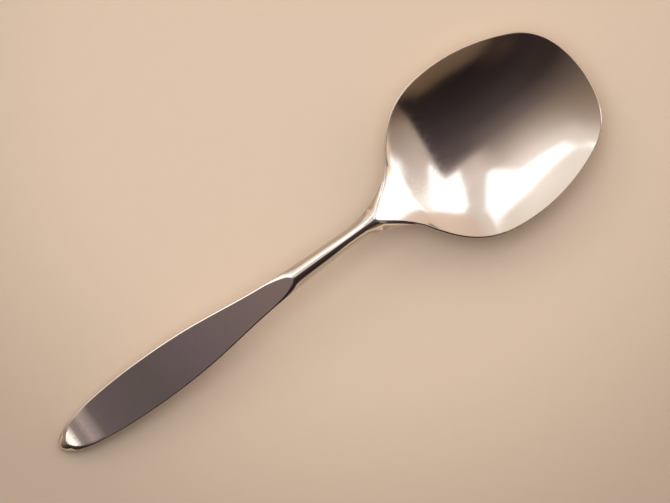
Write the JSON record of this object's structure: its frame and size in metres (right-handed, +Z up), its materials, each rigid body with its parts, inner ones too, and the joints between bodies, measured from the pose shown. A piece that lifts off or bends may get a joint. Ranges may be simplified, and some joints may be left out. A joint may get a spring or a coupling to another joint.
{
  "type": "serving spoon",
  "caption": "Serving spoon with a deep broad bowl, a slim rounded neck and a hollow leaf-shaped handle with a flat satin face.",
  "frame": {"origin": "centre of the bounding box, on the table that the spoon rests on", "axes": "+X from the nose of the handle to the far end of the bowl, +Y across the spoon, +Z up out of the bowl"},
  "size_m": [0.228, 0.0646, 0.0219],
  "materials": {
    "polished_bowl": "bright polished stainless steel with fine use scratches",
    "polished_shank": "bright polished forged stainless steel",
    "satin_face": "satin brushed stainless steel face with bright polished edges",
    "polished_handle": "bright polished stainless steel",
    "handle_cement": "set resin cement, hidden inside the handle"
  },
  "bodies": {
    "root": {"bowl": "polished_bowl", "shank": "polished_shank", "handle_front": "satin_face", "handle_back": "polished_handle", "handle_filler": "handle_cement"}
  },
  "joints": []
}
